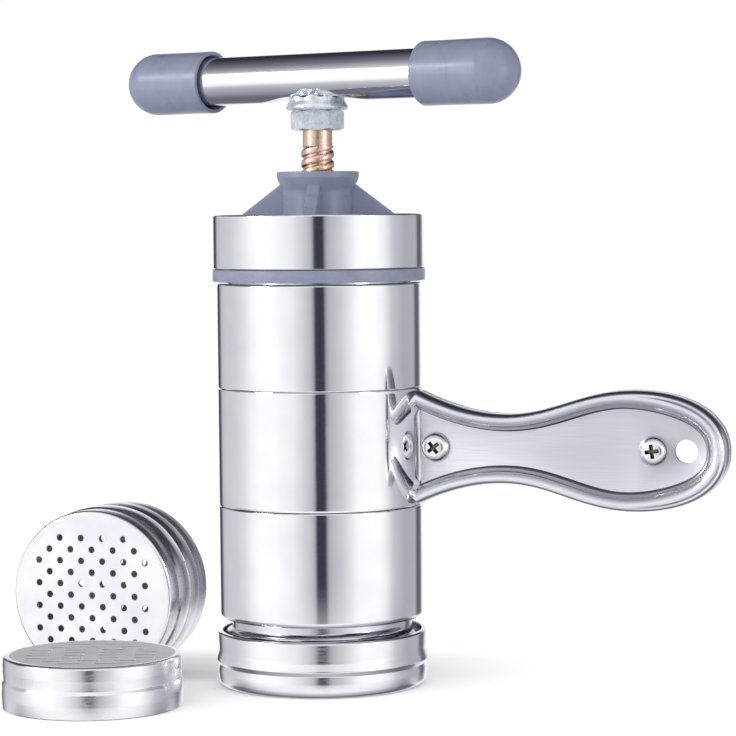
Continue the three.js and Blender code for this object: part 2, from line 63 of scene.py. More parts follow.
SHEET = 0.8
BARREL_R = 31
LINER_R = 27.3
STRAP_LOW, STRAP_HIGH = 54.8, 89.8
HANDLE_Z = (STRAP_LOW + STRAP_HIGH) / 2
DIE_R = 26.4
DIE_HEIGHT = 15
PISTON_Z = 29
SCREW_R = 5
SHANK_R = 4.45
THREAD_LEAD = 6
TUBE_R = 7.5
TUBE_Z = 182.9
TUBE_TURN = radians(-17)
CAP_R = 9.55
SCREW_REACHES = {"inner": 36.6, "outer": 102.8}
HANGING_HOLE = (112.5, 3.45)  # reach and radius

# --- helpers


def rotation(axis, angle):
    return Matrix.Rotation(angle, 4, axis)


class Shader:
    """A short way to write a material's node tree."""

    def __init__(self, tree):
        self.tree = tree
        tree.nodes.clear()

    def node(self, kind, inputs=None, **settings):
        made = self.tree.nodes.new(kind)
        for name, value in settings.items():
            setattr(made, name, value)
        for name, value in (inputs or {}).items():
            self.put(made.inputs[name], value)
        return made

    def put(self, socket, value):
        if isinstance(value, bpy.types.NodeSocket):
            self.tree.links.new(value, socket)
        else:
            socket.default_value = value

    def math(self, operation, *values):
        made = self.node("ShaderNodeMath", operation=operation)
        for socket, value in zip(made.inputs, values):
            self.put(socket, value)
        return made.outputs[0]

    def vector(self, x, y, z):
        return self.node("ShaderNodeCombineXYZ", {"X": x, "Y": y, "Z": z}).outputs[0]

    def noise(self, vector, scale, detail, roughness=0.5):
        inputs = {"Vector": vector, "Scale": scale, "Detail": detail, "Roughness": roughness}
        return self.node("ShaderNodeTexNoise", inputs).outputs["Fac"]

    def remap(self, value, low, high, to_low, to_high):
        inputs = {"Value": value, "From Min": low, "From Max": high, "To Min": to_low, "To Max": to_high}
        return self.node("ShaderNodeMapRange", inputs).outputs["Result"]

    def split(self, vector):
        return self.node("ShaderNodeSeparateXYZ", {"Vector": vector}).outputs

    def stretched(self, vector, by):
        return self.node("ShaderNodeVectorMath", {0: vector, 1: by}, operation="MULTIPLY").outputs[0]

    def mix(self, factor, first, second):
        made = self.node("ShaderNodeMix", data_type="RGBA")
        for index, value in ((0, factor), (6, first), (7, second)):
            self.put(made.inputs[index], value)
        return made.outputs[2]

    def bump(self, height, distance, normal=None):
        inputs = {"Height": height, "Distance": distance, "Strength": 1.0}
        if normal is not None:
            inputs["Normal"] = normal
        return self.node("ShaderNodeBump", inputs).outputs["Normal"]


def srgb(red, green, blue):
    """A colour given as sRGB values from 0 to 255, as a linear colour."""

    def linear(value):
        value /= 255
        return value / 12.92 if value <= 0.04045 else ((value + 0.055) / 1.055) ** 2.4

    return (linear(red), linear(green), linear(blue), 1)


def around_axis(s, place):
    """Cylindrical coordinates of an object's point about its Z axis: angle, radius and height."""
    x, y, z = s.split(place)
    radius = s.math("SQRT", s.math("ADD", s.math("MULTIPLY", x, x), s.math("MULTIPLY", y, y)))
    return s.math("ARCTAN2", y, x), radius, z


def new_material(name, build):
    """A material whose build function returns the values of its Principled shader."""
    material = bpy.data.materials.new(name)
    material.use_nodes = True
    s = Shader(material.node_tree)
    place = s.node("ShaderNodeTexCoord").outputs["Object"]
    shader = s.node("ShaderNodeBsdfPrincipled", build(s, place))
    s.node("ShaderNodeOutputMaterial", {"Surface": shader.outputs[0]})
    return material


# --- materials


def metal(base, roughness, normal, **more):
    return {"Base Color": base, "Metallic": 1.0, "Roughness": roughness, "Normal": normal, **more}


def turned_steel(tint, worn, gloss, spread, wobble, lines):
    """Steel polished or turned round the object's Z axis, with fine lines round it."""

    def build(s, place):
        angle, radius, height = around_axis(s, place)
        ring_place = s.vector(s.math("MULTIPLY", angle, 0.004), radius, height)
        grain = s.noise(ring_place, 2600, 3)
        cloud = s.noise(place, 70, 3)
        colour = s.mix(s.remap(cloud, 0.35, 0.7, 0, 1), tint, worn)
        rough = s.math("ADD", s.remap(grain, 0.3, 0.7, gloss, gloss + spread),
                       s.remap(cloud, 0.4, 0.7, 0, spread * 0.6))
        waves = s.bump(s.noise(place, 34, 0), wobble)
        return metal(colour, rough, s.bump(grain, lines, waves))

    return build


def brushed_steel(tint, worn, gloss, along):
    """Steel brushed in one direction; along is the stretch of its grain on each of the object's axes."""

    def build(s, place):
        grain = s.noise(s.stretched(place, along), 1.0, 3, 0.6)
        cloud = s.noise(place, 90, 4)
        colour = s.mix(s.remap(grain, 0.3, 0.7, 0, 1), tint, worn)
        rough = s.math("ADD", s.remap(grain, 0.3, 0.7, gloss, gloss + 0.1),
                       s.remap(cloud, 0.4, 0.7, 0, 0.06))
        return metal(colour, rough, s.bump(grain, 4e-6))

    return build


def matt_steel(s, place):
    """The dies' faces: fine blasted steel with a slight sparkle."""
    speckle = s.noise(place, 4200, 2, 0.7)
    cloud = s.noise(place, 60, 3)
    colour = s.mix(s.remap(cloud, 0.35, 0.7, 0, 1), srgb(238, 238, 243), srgb(222, 223, 230))
    rough = s.remap(speckle, 0.3, 0.7, 0.3, 0.44)
    return metal(colour, rough, s.bump(speckle, 5e-6))


def shaded_inside_steel(s, place):
    """The dies' insides: rough steel, coloured darker to paint shade into the cups and their holes."""
    cloud = s.noise(place, 200, 3)
    colour = s.mix(cloud, srgb(128, 128, 134), srgb(104, 104, 110))
    return {**metal(colour, s.remap(cloud, 0.3, 0.7, 0.5, 0.6), s.bump(cloud, 5e-6)), "Metallic": 0.25}


def panel_steel(s, place):
    """The side handle's brushed panels, with a painted shade that darkens them towards the tip."""
    reach = s.split(place)["X"]
    values = brushed_steel(srgb(229, 230, 236), srgb(216, 217, 224), 0.3, (90, 900, 3800))(s, place)
    shade_starts, shade_full = 0.04, 0.125  # reaches from the barrel's axis, in metres
    tip_shade = s.remap(reach, shade_starts, shade_full, 0, 1)
    # Painted shade: the panel's colour goes darker between these two reaches.
    values["Base Color"] = s.mix(tip_shade, values["Base Color"], srgb(199, 200, 208))
    return values


def zinc(s, place):
    """Bluish zinc plating with small crystals and dull patches."""
    patches = s.noise(place, 520, 4, 0.65)
    crystals = s.node("ShaderNodeTexVoronoi", {"Vector": place, "Scale": 1500.0}).outputs["Distance"]
    colour = s.mix(s.remap(patches, 0.35, 0.65, 0, 1), srgb(244, 248, 252), srgb(208, 217, 227))
    rough = s.remap(patches, 0.35, 0.7, 0.16, 0.34)
    return {**metal(colour, rough, s.bump(crystals, 1.5e-5, s.bump(patches, 3e-5))), "Metallic": 0.58}


def copper_plating(s, place):
    """Pink copper-coloured plating that turns yellow-green where it is thin."""
    tint = s.noise(place, 240, 3, 0.6)
    grain = s.noise(place, 2400, 3)
    green = s.remap(tint, 0.5, 0.64, 0, 0.8)
    colour = s.mix(green, srgb(232, 194, 182), srgb(206, 190, 146))
    rough = s.remap(grain, 0.3, 0.7, 0.2, 0.36)
    return metal(colour, rough, s.bump(grain, 1.5e-5))


def moulded(tint, worn, gloss, spread, texture):
    """Moulded plastic: a very fine skin, faint flow marks and slightly lighter patches."""

    def build(s, place):
        skin = s.noise(place, 3000, 2)
        flow = s.noise(s.stretched(place, (60, 260, 260)), 1.0, 4, 0.6)
        colour = s.mix(s.remap(flow, 0.35, 0.7, 0, 1), tint, worn)
        rough = s.math("ADD", s.remap(flow, 0.3, 0.7, gloss, gloss + spread),
                       s.remap(skin, 0.3, 0.7, 0, 0.05))
        normal = s.bump(skin, texture, s.bump(flow, 2e-6))
        return {"Base Color": colour, "Roughness": rough, "Normal": normal, "IOR": 1.5}

    return build


def rubber(s, place):
    skin = s.noise(place, 1800, 3)
    colour = s.mix(skin, srgb(34, 34, 36), srgb(52, 52, 54))
    return {"Base Color": colour, "Roughness": s.remap(skin, 0.3, 0.7, 0.55, 0.75),
            "Normal": s.bump(skin, 2e-5)}


BRIGHT = (srgb(236, 236, 240), srgb(228, 229, 234))
SATIN = (srgb(226, 227, 233), srgb(204, 205, 213))
RIM = (srgb(222, 223, 230), srgb(213, 214, 221))
# Dark steel that paints a dark reflection and shade into the crease between the side handle's rim and its
# panel.
CREASE_SHADE = (srgb(84, 84, 91), srgb(56, 56, 61))
# Dark brown steel that paints the shade into the screws' cross recesses.
RECESS_SHADE = (srgb(122, 114, 108), srgb(72, 66, 62))
GREY = (srgb(141, 146, 169), srgb(149, 154, 176))
WHITE = (srgb(232, 233, 234), srgb(224, 225, 227))
MATERIALS = {key: new_material(name, build) for key, name, build in (
    ("polished", "polished_steel", turned_steel(*BRIGHT, 0.045, 0.035, 9e-5, 4e-7)),
    ("ring", "ring_steel", turned_steel(*BRIGHT, 0.1, 0.08, 9e-5, 1.5e-6)),
    ("tube", "tube_steel", turned_steel(*BRIGHT, 0.09, 0.05, 5e-5, 6e-7)),
    ("rim", "rim_steel", brushed_steel(*RIM, 0.12, (90, 700, 700))),
    ("crease", "crease_painted_shade", turned_steel(*CREASE_SHADE, 0.25, 0.1, 5e-5, 2e-6)),
    ("panel", "brushed_panel", panel_steel),
    ("die_face", "die_face_steel", matt_steel),
    ("die_wall", "die_wall_steel", turned_steel(*BRIGHT, 0.15, 0.1, 5e-5, 2e-6)),
    ("die_inside", "die_inside_painted_shade", shaded_inside_steel),
    ("liner", "liner_steel", turned_steel(*SATIN, 0.12, 0.1, 5e-5, 2e-6)),
    ("screw_steel", "screw_steel", turned_steel(*BRIGHT, 0.12, 0.12, 4e-5, 2e-6)),
    ("zinc", "zinc_plate", zinc),
    ("copper", "copper_zinc_plate", copper_plating),
    ("grey", "grey_plastic", moulded(*GREY, 0.24, 0.1, 6e-6)),
    ("white", "white_plastic", moulded(*WHITE, 0.4, 0.12, 6e-6)),
    ("rubber", "seal_rubber", rubber),
    ("recess", "recess_painted_shade", turned_steel(*RECESS_SHADE, 0.3, 0.1, 5e-5, 4e-6)),
)}

# --- section helpers


def filleted(corners, closed=False, step=12):
    """Points along a line through corners (x, y, radius). A corner with a radius becomes an arc."""
    count = len(corners)
    points = []
    for i, corner in enumerate(corners):
        radius = corner[2] if len(corner) > 2 else 0
        here = Vector(corner[:2])
        if radius <= 0 or (not closed and i in (0, count - 1)):
            points.append(here)
            continue
        before, after = Vector(corners[i - 1][:2]), Vector(corners[(i + 1) % count][:2])
        points += fillet_arc(here, before, after, radius, step)
    return points


def fillet_arc(corner, before, after, radius, step):
    back, ahead = (before - corner).normalized(), (after - corner).normalized()
    half = back.angle(ahead) / 2
    if half > radians(89.5):
        return [corner]
    room = 0.49 * min((before - corner).length, (after - corner).length)
    reach = min(radius / tan(half), room)
    radius = reach * tan(half)
    centre = corner + (back + ahead).normalized() * (radius / sin(half))
    first, last = corner + back * reach - centre, corner + ahead * reach - centre
    start = atan2(first.y, first.x)
    sweep = (atan2(last.y, last.x) - start + pi) % tau - pi
    steps = max(2, ceil(abs(sweep) / radians(step)))
    angles = [start + sweep * i / steps for i in range(steps + 1)]
    return [centre + Vector((cos(a), sin(a))) * radius for a in angles]


def sheet_section(path):
    """A pressed sheet's closed section. Its outer face follows the path, with the metal on the left."""
    smallest = 0.1
    points = [Vector(corner[:2]) for corner in path]
    inner = []
    for i, corner in enumerate(path):
        ahead = (points[i + 1] - points[i]).normalized() if i < len(path) - 1 else None
        back = (points[i] - points[i - 1]).normalized() if i else None
        along, side = ((back or ahead) + (ahead or back)).normalized(), ahead or back
        normal = Vector((-along.y, along.x))
        miter = SHEET / normal.dot(Vector((-side.y, side.x)))
        turn = back.cross(ahead) if back and ahead else 0
        radius = corner[2] if len(corner) > 2 else 0
        if turn > 0:
            radius = max(radius - SHEET, smallest)
        elif turn < 0 and radius:
            radius += SHEET
        inner.append((*(points[i] + normal * miter), radius))
    edge = 0.22 * SHEET
    outer = [(corner[0], corner[1], corner[2] if len(corner) > 2 else 0) for corner in path]
    loop = outer + inner[::-1]
    for end in (0, len(path) - 1, len(path), len(loop) - 1):
        loop[end] = (*loop[end][:2], edge)
    return filleted(loop, closed=True)


# --- mesh helpers


def tidy(mesh, sharp):
    """Merges doubled points, turns the faces out and marks the edges sharper than an angle."""
    shape = bmesh.new()
    shape.from_mesh(mesh)
    bmesh.ops.remove_doubles(shape, verts=shape.verts, dist=2e-6)
    bmesh.ops.dissolve_degenerate(shape, edges=shape.edges, dist=1e-6)
    bmesh.ops.recalc_face_normals(shape, faces=shape.faces)
    shape.to_mesh(mesh)
    shape.free()
    mesh.shade_smooth()
    mesh.set_sharp_from_angle(angle=radians(sharp))


def link(made):
    bpy.context.scene.collection.objects.link(made)
    return made


def new_object(name, points, faces, materials, face_materials=None, sharp=SHARP):
    """An object from points in millimetres. The materials are names; face_materials picks one per face."""
    mesh = bpy.data.meshes.new(name)
    mesh.from_pydata([Vector(point) * MM for point in points], [], faces)
    for key in materials:
        mesh.materials.append(MATERIALS[key])
    if face_materials:
        mesh.polygons.foreach_set("material_index", face_materials)
    tidy(mesh, sharp)
    return link(bpy.data.objects.new(name, mesh))


def place(piece, body, nodes, slot, matrix=PRESS):
    """Puts a piece where it belongs, on its CAD body, in place of CAD nodes."""
    piece.matrix_world = matrix
    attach(piece, body)
    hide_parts(*nodes)
    return piece


def modified(piece, kind, **settings):
    """Applies one modifier to a piece."""
    modifier = piece.modifiers.new(kind, kind)
    for name, value in settings.items():
        setattr(modifier, name, value)
    graph = bpy.context.evaluated_depsgraph_get()
    mesh = bpy.data.meshes.new_from_object(piece.evaluated_get(graph))
    piece.modifiers.clear()
    piece.data = mesh
    mesh.shade_smooth()
    mesh.set_sharp_from_angle(angle=radians(SHARP))
    return piece


def cut_with(piece, tool):
    modified(piece, "BOOLEAN", operation="DIFFERENCE", object=tool, solver="EXACT",
             material_mode="TRANSFER")
    bpy.data.objects.remove(tool)
    return piece


def grid_faces(rows, columns, closed_rows, closed_columns):
    """Four-sided faces of a grid of points, stored row by row."""
    faces = []
    for i in range(rows if closed_rows else rows - 1):
        below, above = i * columns, ((i + 1) % rows) * columns
        for j in range(columns if closed_columns else columns - 1):
            k = (j + 1) % columns
            faces.append((below + j, below + k, above + k, above + j))
    return faces


def shifted(faces, first):
    """The same faces for points that are stored from the place first on."""
    return [tuple(first + i for i in face) for face in faces]


def turned_points(loop, segments, change=None):
    """Turns a section about Z. change(radius, height, angle) can move each point."""
    points = []
    for radius, height in loop:
        for j in range(segments):
            angle = tau * j / segments
            r, z = change(radius, height, angle) if change else (radius, height)
            points.append((r * cos(angle), r * sin(angle), z))
    return points


def turned(name, loop, material, segments, change=None, sharp=SHARP):
    """A turned piece. A loop that starts and ends on the axis is left open there."""
    on_axis = abs(loop[0][0]) < 1e-6 and abs(loop[-1][0]) < 1e-6
    faces = grid_faces(len(loop), segments, not on_axis, True)
    return new_object(name, turned_points(loop, segments, change), faces, [material], sharp=sharp)


# --- die ring


def make_die_ring():
    path = [
        (24.5, 0), (31.45, 0, 2.3), (31.8, 4.6, 4), (31.45, 6.5, 0.5), (32.35, 7.9, 0.8),
        (31.55, 10.6, 3), (31.8, 16.5, 0.9), (30.2, 16.5),
    ]
    ring = turned("press_ring", sheet_section(path), "ring", 192)
    place(ring, "ring", ["die_ring"], "polished_steel")


make_die_ring()

# --- dies


def circle(x, y, radius, sides):
    angles = [tau * i / sides for i in range(sides)]
    return [Vector((x + radius * cos(a), y + radius * sin(a))) for a in angles]


def slot_outline(x, y, length, width):
    corner = 0.3
    ends = [(-length / 2, -width / 2, corner), (length / 2, -width / 2, corner),
            (length / 2, width / 2, corner), (-length / 2, width / 2, corner)]
    return [point + Vector((x, y)) for point in filleted(ends, closed=True, step=30)]


def rows_of_places(counts, pitch, spacing):
    """The middles of holes in straight rows, each row centred."""
    centre_row = (len(counts) - 1) / 2
    return [((i - (count - 1) / 2) * pitch, (centre_row - row) * spacing)
            for row, count in enumerate(counts) for i in range(count)]


def grown(outline, by):
    """An outline moved outwards from its own middle by a distance."""
    centre = sum(outline, Vector((0, 0))) / len(outline)
    return [point + (point - centre).normalized() * by for point in outline]


def plate_faces(rim, holes):
    """Triangles of a flat plate with holes, and the points that they use: rim first, then each hole."""
    points = list(rim)
    edges = [(i, (i + 1) % len(rim)) for i in range(len(rim))]
    for hole in holes:
        first = len(points)
        points += hole
        edges += [(first + i, first + (i + 1) % len(hole)) for i in range(len(hole))]
    made, _, faces, *_ = delaunay_2d_cdt(points, edges, [], 1, 1e-5)
    return made, [face for face in faces if not in_a_hole(face, made, holes)]


def in_a_hole(face, points, holes):
    centre = sum((points[i] for i in face), Vector((0, 0))) / len(face)
    return any(inside(centre, hole) for hole in holes)


def inside(point, outline):
    crossings = 0
    for i, a in enumerate(outline):
        b = outline[i - 1]
        if (a.y > point.y) != (b.y > point.y):
            crossings += point.x < (b.x - a.x) * (point.y - a.y) / (b.y - a.y) + a.x
    return crossings % 2 == 1


def die_mesh(name, outlines):
    """A pressed cup, face up, with holes through its face."""
    chamfer, segments, flat = 0.09, 144, 24.1
    face_kind, wall_kind, inside_kind = range(3)  # each one's place in the list of materials
    top, under = DIE_HEIGHT, DIE_HEIGHT - SHEET
    wall = filleted([
        (flat - SHEET, under), (25.2, under, 1), (25.2, 8.4, 0.6), (25.6, 7.3, 0.4), (25.6, 0, 0.2),
        (26.2, 0, 0.25), (DIE_R, 3.6, 6), (26.3, 7.1, 0.5), (25.85, 8.1, 0.5), (26.0, 11, 4),
        (25.95, top, 1.7), (flat, top),
    ])
    points = turned_points([(p.x, p.y) for p in wall], segments)
    faces = grid_faces(len(wall), segments, False, True)
    inner_rows = next(i for i, p in enumerate(wall) if p.y < 0.01)
    # The cup's inner wall takes the insides' material, a painted shade.
    kinds = [inside_kind if i < inner_rows * segments else wall_kind for i in range(len(faces))]
    plates = ((face_kind, top, flat, chamfer), (inside_kind, under, flat - SHEET, 0))
    for kind, height, radius, grow in plates:
        holes = [grown(outline, grow) for outline in outlines]
        flat_points, triangles = plate_faces(circle(0, 0, radius, segments), holes)
        first = len(points)
        points += [(p.x, p.y, height) for p in flat_points]
        faces += shifted(triangles, first)
        kinds += [kind] * len(triangles)
    for outline in outlines:
        first, count = len(points), len(outline)
        for ring, height in ((grown(outline, chamfer), top), (outline, top - chamfer), (outline, under)):
            points += [(p.x, p.y, height) for p in ring]
        hole = grid_faces(3, count, False, True)
        faces += shifted(hole, first)
        # The holes' walls below the chamfer take the insides' painted shade.
        kinds += [face_kind if i < count else inside_kind for i in range(len(hole))]
    return new_object(name, points, faces, ["die_face", "die_wall", "die_inside"], kinds, sharp=30)


def standing(node, toward):
    """Where a die stands on its edge. toward is -1 when its face looks to -Y, and 1 to +Y."""
    low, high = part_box(node)
    rim_y = high.y if toward < 0 else low.y
    turn = rotation("X", -toward * pi / 2)
    return Matrix.Translation(((low.x + high.x) / 2, rim_y, (low.z + high.z) / 2)) @ turn


def make_dies():
    round_places = rows_of_places([4, 5, 6, 5, 6, 5, 6, 5, 6, 5, 4], pitch=7, spacing=3.5)
    slot_places = rows_of_places([2, 3, 4, 4, 4, 4, 3, 2], pitch=10.4, spacing=5)
    wide_places = rows_of_places([3, 4, 5, 4, 3], pitch=8, spacing=7)
    round_holes = [circle(x, y, radius=1.0, sides=20) for x, y in round_places]
    slots = [slot_outline(x, y, length=6.1, width=1.5) for x, y in slot_places]
    wide_holes = [circle(x, y, radius=1.75, sides=28) for x, y in wide_places]
    slot_place, slot_turn = middle("slot_die"), radians(19)
    flat = Matrix.Translation((slot_place.x, slot_place.y, 0)) @ rotation("Z", slot_turn)
    for node, outlines, matrix in (
        ("slot_die", slots, flat),
        ("round_hole_die", round_holes, standing("round_hole_die", -1)),
        ("wide_hole_die", wide_holes, standing("wide_hole_die", 1)),
    ):
        die = place(die_mesh(f"{node}_plate", outlines), node, [node], "satin_steel", matrix)
        die.visible_glossy = False  # keeps the loose dies out of the press's mirror-like walls


make_dies()

# --- barrel


def rolled_thread(start, turns, pitch, depth):
    """A change for turned(): one rounded helical ridge, fading at both ends."""
    run_out, half_width, fullness = 0.12, pitch * 0.42, 0.7

    def change(radius, height, angle):
        lift = 0
        for turn in range(-1, turns + 1):
            along = angle / tau + turn
            centre = start + pitch * (along + 0.5)
            fade = min(1, max(0, along / run_out), max(0, (turns - along) / run_out))
            reach = abs(height - centre) / half_width
            if reach < 1:
                lift = max(lift, fade * depth * (0.5 + 0.5 * cos(pi * reach)) ** fullness)
        return radius + lift, height

    return change


def make_liner():
    thickness, edge, row = 0.6, 0.15, 0.3
    low, top = 1.1, 134
    threads = [rolled_thread(start=9.6, turns=2, pitch=3.2, depth=1.7),
               rolled_thread(start=123.8, turns=1, pitch=3.4, depth=1.9)]

    def change(radius, height, angle):
        for thread in threads:
            radius, height = thread(radius, height, angle)
        return radius, height

    at_threads = [8 + row * i for i in range(42)] + [122 + row * i for i in range(34)]
    heights = [low] + at_threads + [top - 0.2]
    outer = [(LINER_R - edge, low)] + [(LINER_R, z) for z in heights[1:]] + [(LINER_R - edge, top)]
    inner = [(LINER_R - thickness, z) for z in [top] + heights[::-1]]
    liner = turned("barrel_tube", outer + inner, "liner", 128, change, sharp=40)
    place(liner, "barrel", ["barrel_liner"], "satin_steel")


def make_shells():
    hug, skirt = LINER_R + 0.3, BARREL_R - SHEET - 0.3
    low = [
        (hug, 20.5), (BARREL_R, 20.5, 3.3), (BARREL_R, STRAP_LOW - 0.2, 1.1),
        (skirt, STRAP_LOW - 0.2, 0.2), (skirt, HANDLE_Z - 0.3),
    ]
    high = [
        (skirt, HANDLE_Z + 0.3), (skirt, STRAP_HIGH + 0.35, 0.2), (BARREL_R, STRAP_HIGH + 0.12, 2.1),
        (BARREL_R, 121.5, 0.7), (hug, 121.5),
    ]
    for name, node, path in (("lower_tier", "lower_shell", low), ("upper_tier", "upper_shell", high)):
        piece = turned(name, sheet_section(path), "polished", 192)
        place(piece, "barrel", [node], "polished_steel")


make_liner()
make_shells()

# --- strap and side handle

PANEL_Y = 0.95  # the panels' outer faces, from the middle plane
PARTING = 0.15
RIM_WIDTH, RIM_CREST = 5.0, 6.5
ROOT_REACH = 32.1  # where the fold's curve ends
RIM_FACE, PANEL_FACE, BAND_FACE, CREASE_SHADE_FACE = range(4)  # places in the strap's list of materials


def bezier(a, b, c, d, steps):
    """Points on a cubic curve, without its first one."""
    a, b, c, d = (Vector(p) for p in (a, b, c, d))
    values = [i / steps for i in range(1, steps + 1)]
    return [a * (1 - t) ** 3 + b * 3 * t * (1 - t) ** 2 + c * 3 * t * t * (1 - t) + d * t ** 3
            for t in values]


def handle_outline():
    """The handle's outline from its root's upper corner round the tip to the lower one."""
    root, waist, widest, tip = (31, 17.5), (58.5, 10.4), (97.5, 17.85), (125.2, 0)
    upper = [Vector(root)]
    upper += bezier(root, (37.5, 14.4), (47, 10.4), waist, 22)
    upper += bezier(waist, (73, 10.4), (81.5, widest[1]), widest, 30)
    upper += bezier(widest, (112.5, widest[1]), (tip[0], 12), tip, 34)
    first = next(i for i, p in enumerate(upper) if p.x > ROOT_REACH)
    share = (ROOT_REACH - upper[first - 1].x) / (upper[first].x - upper[first - 1].x)
    upper = [upper[first - 1].lerp(upper[first], share)] + upper[first:]
    return upper + [Vector((p.x, -p.y)) for p in upper[-2::-1]]


def inward_directions(outline):
    """The direction across the rim at each point of the outline, along the root's edge at both ends."""
    found = []
    for i in range(len(outline)):
        along = outline[min(i + 1, len(outline) - 1)] - outline[max(i - 1, 0)]
        found.append(Vector((along.y, -along.x)).normalized())
    found[0], found[-1] = Vector((0, -1)), Vector((0, 1))
    return found


def rim_section(share):
    """The rim from its outer edge to the panel: distance inwards and distance from the middle plane.
    share is 0 along the handle and 1 at its tip, where the rim is wider and has a groove round it."""
    width = RIM_WIDTH + 1.3 * share
    crest, steps = 1.5 + 0.6 * share, 28
    made, left = 0.93, 0.07  # the shares of half a turn that the section makes and leaves
    section = []
    for i in range(steps + 1):
        angle = pi * made * i / steps
        side = crest if angle < pi / 2 else (width - crest) / cos(pi * left)
        power = 0.7 if angle < pi / 2 else 0.85
        depth = crest - side * cos(angle)
        groove = 0.7 * share * exp(-((depth - 1.5) / 0.4) ** 2)
        section.append((depth, PARTING + (RIM_CREST - PARTING) * sin(angle) ** power - groove))
    return section + [(width + 0.12, PANEL_Y + 0.12), (width + 0.35, PANEL_Y)]


def rim_and_panel():
    """The front half's rim and panel, and the root's line of points from top to bottom."""
    tip_start, tip_length, crease_shade_rows = 88, 26, 4
    outline = handle_outline()
    points, faces, kinds = [], [], []
    for corner, inward in zip(outline, inward_directions(outline)):
        share = min(1, max(0, (corner.x - tip_start) / tip_length))
        section = rim_section(share * share * (3 - 2 * share))
        for depth, out in section:
            flat = corner + inward * depth
            points.append((flat.x, -out, HANDLE_Z + flat.y))
    faces += grid_faces(len(outline), len(section), False, False)
    last = len(section) - 1
    # The rim's rows next to the panel take the crease material: a painted dark reflection and shade in the
    # crease.
    kinds += [CREASE_SHADE_FACE if i % last >= last - crease_shade_rows else RIM_FACE for i in range(len(faces))]
    edge = [Vector((points[i * len(section) + last][0], points[i * len(section) + last][2] - HANDLE_Z))
            for i in range(len(outline))]
    hole = circle(HANGING_HOLE[0], 0, HANGING_HOLE[1], 48)
    flat_points, triangles = plate_faces(edge, [hole])
    first = len(points)
    points += [(p.x, -PANEL_Y, HANDLE_Z + p.y) for p in flat_points]
    faces += shifted(triangles, first)
    kinds += [PANEL_FACE] * len(triangles)
    top_line = points[: len(section)]
    bottom_line = points[(len(outline) - 1) * len(section): len(outline) * len(section)]
    return points, faces, kinds, top_line + bottom_line[::-1]


def fold_and_band(root_line):
    """The strap: a curve from the handle's root onto the barrel, then half of the band round it."""
    fold_steps, band_steps = 8, 88
    set_over, furthest, too_flat = 0.8, 0.9, 0.2
    columns = []
    for _, y, z in root_line:
        meet = asin(min((-y + set_over) / BARREL_R, furthest))
        landing = Vector((BARREL_R * cos(meet), -BARREL_R * sin(meet)))
        start = Vector((ROOT_REACH, y))
        slope = Vector((-landing.y, landing.x)).normalized()
        steep = abs(slope.y) > too_flat
        corner = landing + slope * ((y - landing.y) / slope.y) if steep else landing
        line = [start]
        for i in range(1, fold_steps + 1):
            t = i / fold_steps
            line.append(start * (1 - t) ** 2 + corner * 2 * t * (1 - t) + landing * t * t)
        for i in range(1, band_steps + 1):
            t = i / band_steps
            angle = -(meet + (pi - meet) * t)
            line.append(Vector((BARREL_R * cos(angle), BARREL_R * sin(angle))))
        columns.append([(p.x, p.y, z, min(1, i / fold_steps)) for i, p in enumerate(line)])
    return spread_heights(columns)


def spread_heights(columns):
    """Moves the columns' heights from the handle's root to evenly filled heights on the band."""
    roots = [Vector(column[0][:3]) for column in columns]
    along = [0]
    for before, after in zip(roots, roots[1:]):
        along.append(along[-1] + (after - before).length)
    points = []
    for column, distance in zip(columns, along):
        z = column[0][2]
        band_z = STRAP_HIGH - distance / along[-1] * (STRAP_HIGH - STRAP_LOW)
        points += [(x, y, z + (band_z - z) * share) for x, y, _, share in column]
    return points, grid_faces(len(columns), len(columns[0]), False, False)


def make_strap_handle():
    points, faces, kinds, root_line = rim_and_panel()
    band_points, band_faces = fold_and_band(root_line)
    first = len(points)
    points += band_points
    faces += shifted(band_faces, first)
    kinds += [BAND_FACE] * len(band_faces)
    count = len(points)
    points += [(x, -y, z) for x, y, z in points]
    faces += shifted([face[::-1] for face in faces], count)
    strap = new_object("strap_and_handle", points, faces, ["rim", "panel", "polished", "crease"], kinds * 2)
    modified(strap, "SOLIDIFY", thickness=SHEET * MM, offset=-1)
    modified(strap, "BEVEL", width=0.1 * MM, segments=2, limit_method="ANGLE",
             angle_limit=radians(60))
    place(strap, "barrel", ["strap_handle"], "polished_steel")


make_strap_handle()

# --- screws and nuts


def cross_recess(radius, depth, top):
    """A tapered cross that cuts a screw's head and leaves its dark recess material on the cut: a painted
    shade in the recess.
    """
    wide, narrow = radius * 0.56, radius * 0.15
    outline = []
    for quarter in range(4):
        turn = Matrix.Rotation(quarter * pi / 2, 2)
        outline += [turn @ Vector(p) for p in ((narrow, -narrow), (wide, -narrow), (wide, narrow))]
    points = [(p.x * 1.12, p.y * 1.12, top + 1) for p in outline]
    points += [(p.x * 0.55, p.y * 0.55, top - depth) for p in outline]
    count = len(outline)
    faces = [tuple(range(count)), tuple(range(2 * count - 1, count - 1, -1))]
    faces += [(i, i + count, (i + 1) % count + count, (i + 1) % count) for i in range(count)]
    return new_object("recess_tool", points, faces, ["recess"])


def pan_screw(name, head_radius, head_height, shaft_radius, shaft_length, material):
    """A domed cross-recess screw along +Z, its head's seat at z = 0."""
    section = filleted([
        (0, -shaft_length), (shaft_radius, -shaft_length, 0.4), (shaft_radius, 0, 0.1),
        (head_radius, 0, 0.15), (head_radius, head_height * 0.3, 0.6),
        (head_radius * 0.72, head_height * 0.86, 2.0), (0, head_height),
    ], step=9)
    screw = turned(name, section, material, 72)
    return cut_with(screw, cross_recess(head_radius, head_height * 0.7, head_height))


